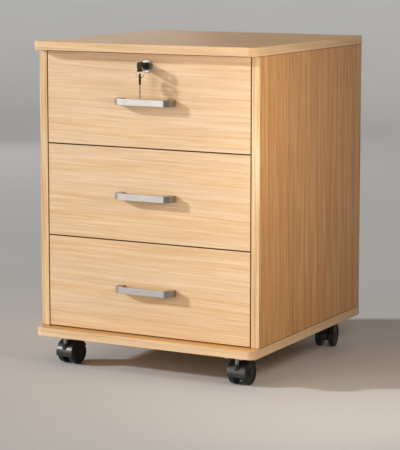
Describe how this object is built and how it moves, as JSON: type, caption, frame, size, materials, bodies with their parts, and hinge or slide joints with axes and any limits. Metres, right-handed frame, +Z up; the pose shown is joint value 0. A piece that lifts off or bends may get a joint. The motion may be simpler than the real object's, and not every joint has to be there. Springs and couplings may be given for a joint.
{
  "type": "mobile pedestal file cabinet",
  "caption": "Under-desk pedestal cabinet with equal drawers in a row upwards, bridge pulls, a cylinder lock with keys, and twin-wheel swivel casters.",
  "frame": {"origin": "on the floor under the middle of the whole object's box, keys included", "axes": "+X to the right seen from the front, front towards -Y, +Z up"},
  "size_m": [0.45, 0.4716, 0.598],
  "materials": {
    "cabinet_board": "light oak laminate on particle board, satin, grain along each board",
    "front_board": "light oak laminate, satin, fine horizontal grain",
    "back_board": "thin laminated fibreboard, satin",
    "drawer_box_board": "laminated board, matt",
    "drawer_bottom_board": "thin fibreboard, matt",
    "handle_metal": "brushed, satin",
    "zinc_steel": "zinc plated",
    "caster_plate_steel": "zinc plated",
    "lock_chrome": "polished",
    "plug_black": "dark, satin",
    "key_black": "moulded bow cover over a nickel blade",
    "ring_steel": "nickel wire",
    "caster_hood_black": "moulded, semi gloss",
    "axle_steel": "bright steel",
    "wheel_black": "moulded nylon"
  },
  "bodies": {
    "cabinet": {"top_panel": "cabinet_board", "bottom_panel": "cabinet_board", "left_side_panel": "cabinet_board", "right_side_panel": "cabinet_board", "back_panel": "back_board", "cam_fittings": "zinc_steel", "strike_bracket": "zinc_steel", "cabinet_screws": "zinc_steel", "caster_plates": "caster_plate_steel", "runner_outers": "zinc_steel"},
    "drawer_1": {"drawer_1_front": "front_board", "drawer_1_left_side": "drawer_box_board", "drawer_1_right_side": "drawer_box_board", "drawer_1_rear": "drawer_box_board", "drawer_1_bottom": "drawer_bottom_board", "drawer_1_handle": "handle_metal", "drawer_1_fasteners": "zinc_steel", "drawer_1_runner_inner": "zinc_steel", "lock_housing": "lock_chrome", "lock_nut": "zinc_steel"},
    "drawer_1_runners": {"drawer_1_runner_middle": "zinc_steel"},
    "drawer_2": {"drawer_2_front": "front_board", "drawer_2_left_side": "drawer_box_board", "drawer_2_right_side": "drawer_box_board", "drawer_2_rear": "drawer_box_board", "drawer_2_bottom": "drawer_bottom_board", "drawer_2_handle": "handle_metal", "drawer_2_fasteners": "zinc_steel", "drawer_2_runner_inner": "zinc_steel"},
    "drawer_2_runners": {"drawer_2_runner_middle": "zinc_steel"},
    "drawer_3": {"drawer_3_front": "front_board", "drawer_3_left_side": "drawer_box_board", "drawer_3_right_side": "drawer_box_board", "drawer_3_rear": "drawer_box_board", "drawer_3_bottom": "drawer_bottom_board", "drawer_3_handle": "handle_metal", "drawer_3_fasteners": "zinc_steel", "drawer_3_runner_inner": "zinc_steel"},
    "drawer_3_runners": {"drawer_3_runner_middle": "zinc_steel"},
    "lock_core": {"lock_plug": "plug_black", "lock_cam": "zinc_steel", "key": "key_black"},
    "ring": {"key_ring": "ring_steel"},
    "hanging_key": {"spare_key": "key_black"},
    "caster_front_left": {"caster_front_left_hood": "caster_hood_black", "caster_front_left_axle": "axle_steel"},
    "caster_front_left_left_wheel": {"caster_front_left_wheel_left": "wheel_black"},
    "caster_front_left_right_wheel": {"caster_front_left_wheel_right": "wheel_black"},
    "caster_front_right": {"caster_front_right_hood": "caster_hood_black", "caster_front_right_axle": "axle_steel"},
    "caster_front_right_left_wheel": {"caster_front_right_wheel_left": "wheel_black"},
    "caster_front_right_right_wheel": {"caster_front_right_wheel_right": "wheel_black"},
    "caster_rear_left": {"caster_rear_left_hood": "caster_hood_black", "caster_rear_left_axle": "axle_steel"},
    "caster_rear_left_left_wheel": {"caster_rear_left_wheel_left": "wheel_black"},
    "caster_rear_left_right_wheel": {"caster_rear_left_wheel_right": "wheel_black"},
    "caster_rear_right": {"caster_rear_right_hood": "caster_hood_black", "caster_rear_right_axle": "axle_steel"},
    "caster_rear_right_left_wheel": {"caster_rear_right_wheel_left": "wheel_black"},
    "caster_rear_right_right_wheel": {"caster_rear_right_wheel_right": "wheel_black"}
  },
  "joints": [
    {"name": "drawer_1_slide", "type": "slide", "parent": "cabinet", "child": "drawer_1", "axis": [0, -1, 0], "range_m": [0, 0.35]},
    {"name": "drawer_1_runner_slide", "type": "slide", "parent": "cabinet", "child": "drawer_1_runners", "axis": [0, -1, 0], "range_m": [0, 0.175]},
    {"name": "drawer_2_slide", "type": "slide", "parent": "cabinet", "child": "drawer_2", "axis": [0, -1, 0], "range_m": [0, 0.35]},
    {"name": "drawer_2_runner_slide", "type": "slide", "parent": "cabinet", "child": "drawer_2_runners", "axis": [0, -1, 0], "range_m": [0, 0.175]},
    {"name": "drawer_3_slide", "type": "slide", "parent": "cabinet", "child": "drawer_3", "axis": [0, -1, 0], "range_m": [0, 0.35]},
    {"name": "drawer_3_runner_slide", "type": "slide", "parent": "cabinet", "child": "drawer_3_runners", "axis": [0, -1, 0], "range_m": [0, 0.175]},
    {"name": "lock_turn", "type": "hinge", "parent": "drawer_1", "child": "lock_core", "pos_m": [0.002, -0.20125, 0.5584], "axis": [0, 1, 0], "range_deg": [0, 90]},
    {"name": "ring_swing", "type": "hinge", "parent": "lock_core", "child": "ring", "pos_m": [0.002, -0.22725, 0.5569], "axis": [-1, 0, 0], "range_deg": [-4, 60]},
    {"name": "spare_key_swing", "type": "hinge", "parent": "ring", "child": "hanging_key", "pos_m": [0.002, -0.22725, 0.5395], "axis": [-1, 0, 0], "range_deg": [-25, 25]},
    {"name": "front_left_swivel", "type": "hinge", "parent": "cabinet", "child": "caster_front_left", "pos_m": [-0.178, -0.19425, 0.0535], "axis": [0, 0, 1], "continuous": true},
    {"name": "front_left_left_wheel_spin", "type": "hinge", "parent": "caster_front_left", "child": "caster_front_left_left_wheel", "pos_m": [-0.1755, -0.17642, 0.021], "axis": [0.9903, -0.1392, 0], "continuous": true},
    {"name": "front_left_right_wheel_spin", "type": "hinge", "parent": "caster_front_left", "child": "caster_front_left_right_wheel", "pos_m": [-0.1755, -0.17642, 0.021], "axis": [0.9903, -0.1392, 0], "continuous": true},
    {"name": "front_right_swivel", "type": "hinge", "parent": "cabinet", "child": "caster_front_right", "pos_m": [0.178, -0.19425, 0.0535], "axis": [0, 0, 1], "continuous": true},
    {"name": "front_right_left_wheel_spin", "type": "hinge", "parent": "caster_front_right", "child": "caster_front_right_left_wheel", "pos_m": [0.17831, -0.17625, 0.021], "axis": [0.9998, -0.0175, 0], "continuous": true},
    {"name": "front_right_right_wheel_spin", "type": "hinge", "parent": "caster_front_right", "child": "caster_front_right_right_wheel", "pos_m": [0.17831, -0.17625, 0.021], "axis": [0.9998, -0.0175, 0], "continuous": true},
    {"name": "rear_left_swivel", "type": "hinge", "parent": "cabinet", "child": "caster_rear_left", "pos_m": [-0.178, 0.19775, 0.0535], "axis": [0, 0, 1], "continuous": true},
    {"name": "rear_left_left_wheel_spin", "type": "hinge", "parent": "caster_rear_left", "child": "caster_rear_left_left_wheel", "pos_m": [-0.17364, 0.18029, 0.021], "axis": [-0.9703, -0.2419, 0], "continuous": true},
    {"name": "rear_left_right_wheel_spin", "type": "hinge", "parent": "caster_rear_left", "child": "caster_rear_left_right_wheel", "pos_m": [-0.17364, 0.18029, 0.021], "axis": [-0.9703, -0.2419, 0], "continuous": true},
    {"name": "rear_right_swivel", "type": "hinge", "parent": "cabinet", "child": "caster_rear_right", "pos_m": [0.178, 0.19775, 0.0535], "axis": [0, 0, 1], "continuous": true},
    {"name": "rear_right_left_wheel_spin", "type": "hinge", "parent": "caster_rear_right", "child": "caster_rear_right_left_wheel", "pos_m": [0.18113, 0.18002, 0.021], "axis": [-0.9848, -0.1736, 0], "continuous": true},
    {"name": "rear_right_right_wheel_spin", "type": "hinge", "parent": "caster_rear_right", "child": "caster_rear_right_right_wheel", "pos_m": [0.18113, 0.18002, 0.021], "axis": [-0.9848, -0.1736, 0], "continuous": true}
  ],
  "couplings": [
    {"joint": "drawer_1_runner_slide", "follows": "drawer_1_slide", "ratio": 0.5},
    {"joint": "drawer_2_runner_slide", "follows": "drawer_2_slide", "ratio": 0.5},
    {"joint": "drawer_3_runner_slide", "follows": "drawer_3_slide", "ratio": 0.5}
  ]
}
